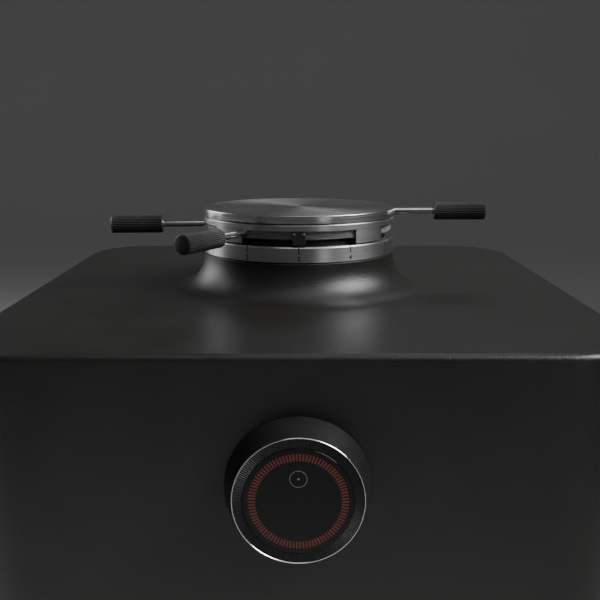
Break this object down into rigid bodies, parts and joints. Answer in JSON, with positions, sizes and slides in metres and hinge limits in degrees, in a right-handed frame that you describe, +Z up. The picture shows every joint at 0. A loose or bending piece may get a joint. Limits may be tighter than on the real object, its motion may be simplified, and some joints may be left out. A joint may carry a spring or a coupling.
{
  "type": "burr coffee grinder",
  "caption": "Electric burr coffee grinder: black square head on a column, flared neck with a scale ring, lever-turned adjusting wheel and lid, front dial with a push display, spout and cup.",
  "frame": {"origin": "on the counter, under the middle of the whole machine's bounding box", "axes": "+Z up, -Y towards the user, +X to the user's right"},
  "size_m": [0.243, 0.267, 0.3182],
  "materials": {
    "housing": "satin black powder coat",
    "black_anodised": "black anodised",
    "satin_aluminium": "satin, turned",
    "polished_steel": "polished",
    "burr_steel": "ground",
    "black_plastic": "matte black",
    "display_glass": "black glass with dull red marks under it",
    "rubber": "matte black",
    "circuit_board": "green solder mask",
    "copper_winding": "enamelled copper",
    "cast_aluminium": "as cast"
  },
  "bodies": {
    "frame": {"housing_shell": "housing", "head_floor": "housing", "base_plate": "housing", "foot_front_left": "rubber", "foot_front_right": "rubber", "foot_rear_left": "rubber", "foot_rear_right": "rubber", "rear_cover": "black_plastic", "rear_screw_1": "polished_steel", "rear_screw_2": "polished_steel", "rear_screw_3": "polished_steel", "rear_screw_4": "polished_steel", "power_inlet": "black_plastic", "switch_frame": "black_plastic", "scale_ring": "satin_aluminium", "neck_collar": "black_anodised", "grind_chamber": "cast_aluminium", "guide_pin_left": "polished_steel", "guide_pin_right": "polished_steel", "chute": "black_plastic", "spout": "black_anodised", "motor_plate": "cast_aluminium", "motor_case": "cast_aluminium", "motor_end_cap": "cast_aluminium", "motor_stator": "copper_winding", "upper_bearing": "polished_steel", "lower_bearing": "polished_steel", "shaft_seal": "rubber", "power_supply": "cast_aluminium", "controller_board": "circuit_board", "dial_seat": "black_plastic", "display_spring": "polished_steel", "encoder_board": "circuit_board", "cup_mat": "rubber"},
    "burr_carrier": {"upper_burr_carrier": "cast_aluminium", "upper_burr": "burr_steel", "feed_funnel": "black_plastic"},
    "wheel": {"adjusting_wheel": "satin_aluminium", "index_pointer": "burr_steel", "wheel_left_rod": "polished_steel", "wheel_left_grip": "black_anodised", "wheel_front_rod": "polished_steel", "wheel_front_grip": "black_anodised"},
    "plug": {"lid_plug": "black_plastic", "lid_gasket": "rubber"},
    "lid": {"lid_disc": "satin_aluminium", "lid_rod": "polished_steel", "lid_grip": "black_anodised", "lid_pivot_screw": "polished_steel"},
    "spindle": {"main_shaft": "polished_steel", "motor_rotor": "burr_steel", "lower_burr_carrier": "cast_aluminium", "lower_burr": "burr_steel", "burr_nut": "polished_steel"},
    "dial": {"dial_knob": "black_anodised", "dial_rim": "polished_steel"},
    "display": {"display_glass": "display_glass", "display_carrier": "black_plastic"},
    "rocker": {"power_rocker": "black_plastic"},
    "cup": {"dosing_cup": "satin_aluminium"}
  },
  "joints": [
    {"name": "carrier_lift", "type": "slide", "parent": "frame", "child": "burr_carrier", "axis": [0, 0, 1], "range_m": [-0.00025, 0.000375]},
    {"name": "wheel_turn", "type": "hinge", "parent": "frame", "child": "wheel", "pos_m": [0, 0.006, 0.3095], "axis": [0, 0, 1], "range_deg": [-60, 90]},
    {"name": "lid_lift", "type": "slide", "parent": "wheel", "child": "plug", "axis": [0, 0, 1], "range_m": [0, 0.06]},
    {"name": "lid_turn", "type": "hinge", "parent": "plug", "child": "lid", "pos_m": [0, 0.006, 0.3147], "axis": [0, 0, 1], "range_deg": [0, 60]},
    {"name": "burr_spin", "type": "hinge", "parent": "frame", "child": "spindle", "pos_m": [0, 0.006, 0.216], "axis": [0, 0, 1], "continuous": true},
    {"name": "dial_turn", "type": "hinge", "parent": "frame", "child": "dial", "pos_m": [0, -0.1275, 0.2343], "axis": [0, -1, 0], "continuous": true},
    {"name": "display_push", "type": "slide", "parent": "frame", "child": "display", "axis": [0, 1, 0], "range_m": [0, 0.0008], "stiffness_N_per_m": 1500, "springref_m": -0.001},
    {"name": "rocker_tip", "type": "hinge", "parent": "frame", "child": "rocker", "pos_m": [0.024, 0.1275, 0.076], "axis": [0, 0, 1], "range_deg": [-18, 0]},
    {"name": "cup_slide", "type": "slide", "parent": "frame", "child": "cup", "axis": [0, -1, 0], "range_m": [0, 0.12]}
  ],
  "couplings": [
    {"joint": "wheel_turn", "follows": "carrier_lift", "rad_per_m": 4188.8}
  ]
}
